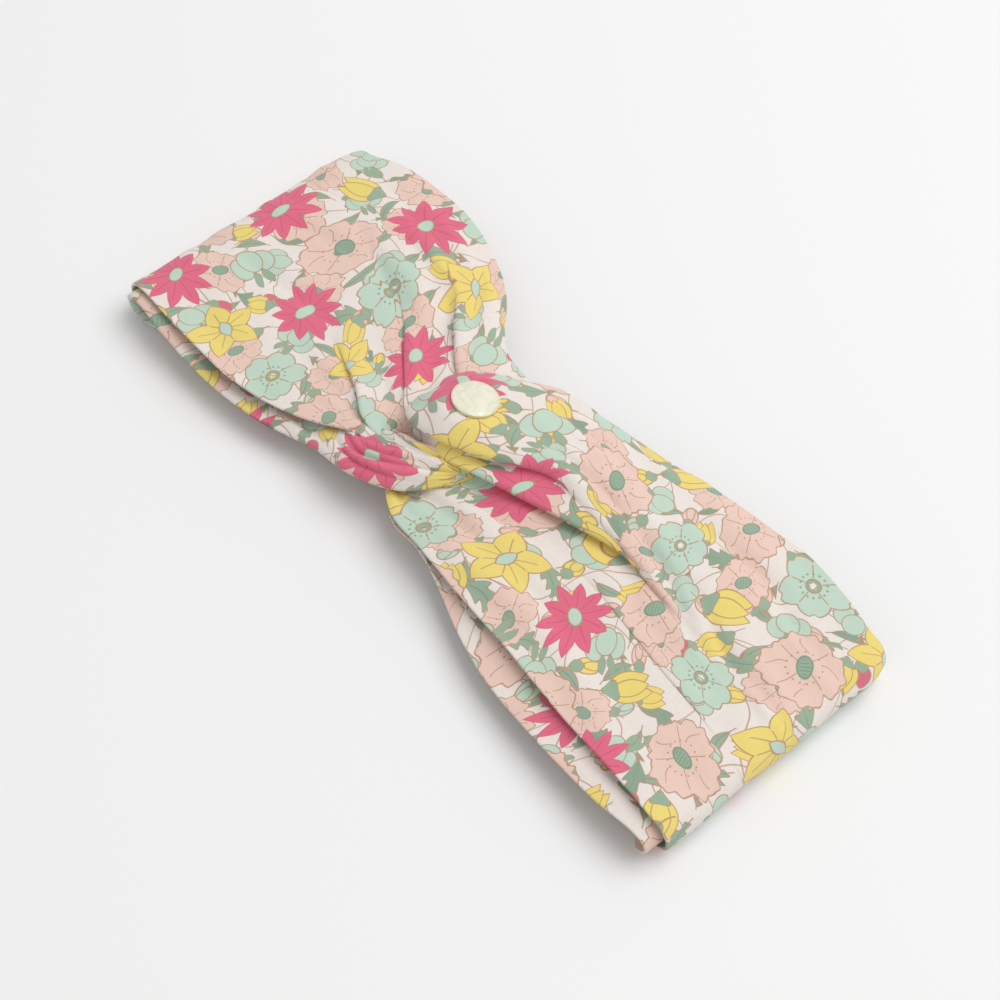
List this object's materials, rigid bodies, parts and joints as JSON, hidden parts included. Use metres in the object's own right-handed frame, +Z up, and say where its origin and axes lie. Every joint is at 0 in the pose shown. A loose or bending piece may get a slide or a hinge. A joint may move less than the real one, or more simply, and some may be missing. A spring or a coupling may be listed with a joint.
{
  "type": "knotted headband",
  "caption": "Wide fabric headband that lies flat as a loop: wraps hooked round each other in a front knot, an elastic casing at the back, and a small round shank button sewn on the knot.",
  "frame": {"origin": "under the middle of the band, on the surface that it lies on", "axes": "+X along the band towards the long half that carries the knot's top, +Y across the band, +Z up through the knot"},
  "size_m": [0.243, 0.102, 0.0304],
  "materials": {
    "printed_cotton": "fine plain-weave cotton with a small floral print, soft and matte",
    "elastic": "woven elastic, ribbed and matte",
    "thread": "spun sewing thread, matte",
    "button": "translucent cream, polished"
  },
  "bodies": {
    "back_mid": {"casing_middle": "printed_cotton", "elastic_middle": "elastic", "casing_topstitching": "thread"},
    "back_right": {"casing_right": "printed_cotton", "elastic_right": "elastic", "right_wrap_tail": "printed_cotton", "right_join_stitching": "thread"},
    "front_right": {"right_wrap_fold": "printed_cotton", "right_wrap_upper_side": "printed_cotton", "right_wrap_lower_side": "printed_cotton", "right_wrap_seam_thread": "thread"},
    "front_mid": {"left_wrap_upper_knot": "printed_cotton", "left_wrap_lower_knot": "printed_cotton", "right_wrap_upper_knot": "printed_cotton", "right_wrap_lower_knot": "printed_cotton", "knot_tack_thread": "thread", "button_thread": "thread"},
    "front_left": {"left_wrap_fold": "printed_cotton", "left_wrap_upper_side": "printed_cotton", "left_wrap_lower_side": "printed_cotton", "left_wrap_seam_thread": "thread"},
    "back_left": {"left_wrap_tail": "printed_cotton", "left_join_stitching": "thread"},
    "button": {"button": "button"}
  },
  "joints": [
    {"name": "right_back_bend", "type": "hinge", "parent": "back_mid", "child": "back_right", "pos_m": [0.064, 0, 0.0023], "axis": [0, -1, 0], "range_deg": [0, 60]},
    {"name": "right_fold", "type": "hinge", "parent": "back_right", "child": "front_right", "pos_m": [0.11435, 0, 0.00715], "axis": [0, 1, 0], "range_deg": [0, 120], "deforming": ["right_wrap_fold"]},
    {"name": "right_front_bend", "type": "hinge", "parent": "front_right", "child": "front_mid", "pos_m": [0.064, 0, 0.012], "axis": [0, -1, 0], "range_deg": [0, 60]},
    {"name": "left_front_bend", "type": "hinge", "parent": "front_mid", "child": "front_left", "pos_m": [-0.064, 0, 0.012], "axis": [0, -1, 0], "range_deg": [0, 60]},
    {"name": "left_fold", "type": "hinge", "parent": "front_left", "child": "back_left", "pos_m": [-0.11435, 0, 0.00715], "axis": [0, 1, 0], "range_deg": [0, 120], "deforming": ["left_wrap_fold"]},
    {"name": "button_turn", "type": "hinge", "parent": "front_mid", "child": "button", "pos_m": [-0.009, 0.0005, 0.0276], "axis": [0, 0.225, 0.9744], "range_deg": [-30, 30]}
  ],
  "couplings": [
    {"joint": "right_fold", "follows": "right_back_bend", "ratio": 2},
    {"joint": "right_front_bend", "follows": "right_back_bend", "ratio": 1},
    {"joint": "left_front_bend", "follows": "right_back_bend", "ratio": 1},
    {"joint": "left_fold", "follows": "right_back_bend", "ratio": 2}
  ]
}
